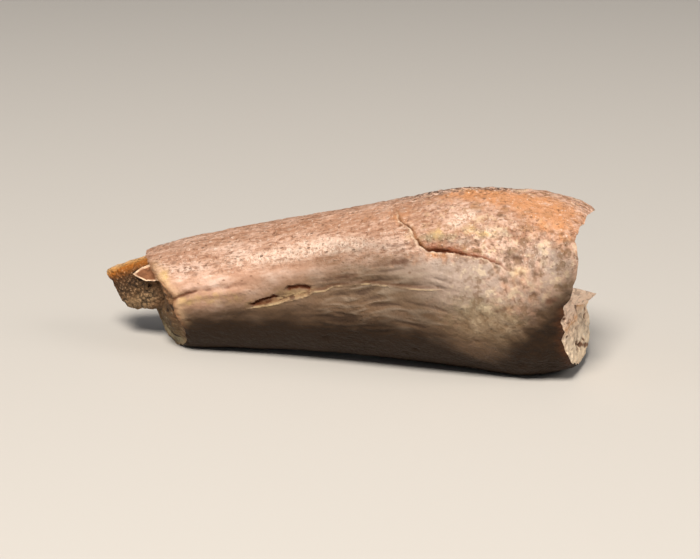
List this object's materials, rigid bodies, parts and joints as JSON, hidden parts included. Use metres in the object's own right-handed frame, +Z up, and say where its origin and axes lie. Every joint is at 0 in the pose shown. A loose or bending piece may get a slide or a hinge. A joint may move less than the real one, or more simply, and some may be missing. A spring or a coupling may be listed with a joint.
{
  "type": "dinosaur claw fossil",
  "caption": "Broken length of a fossil dinosaur claw, oval in section, grooved along its flanks and cracked across, lying on its underside.",
  "frame": {"origin": "on the rest plane, under the middle of the claw's bounding box", "axes": "+X along the claw from its tip break to its base break, +Z up from the underside to the crest, -Y out of the flank with the long crack"},
  "size_m": [0.0806, 0.0234, 0.0289],
  "materials": {
    "fossil_bone": "matte"
  },
  "bodies": {
    "root": {"claw": "fossil_bone"}
  },
  "joints": []
}
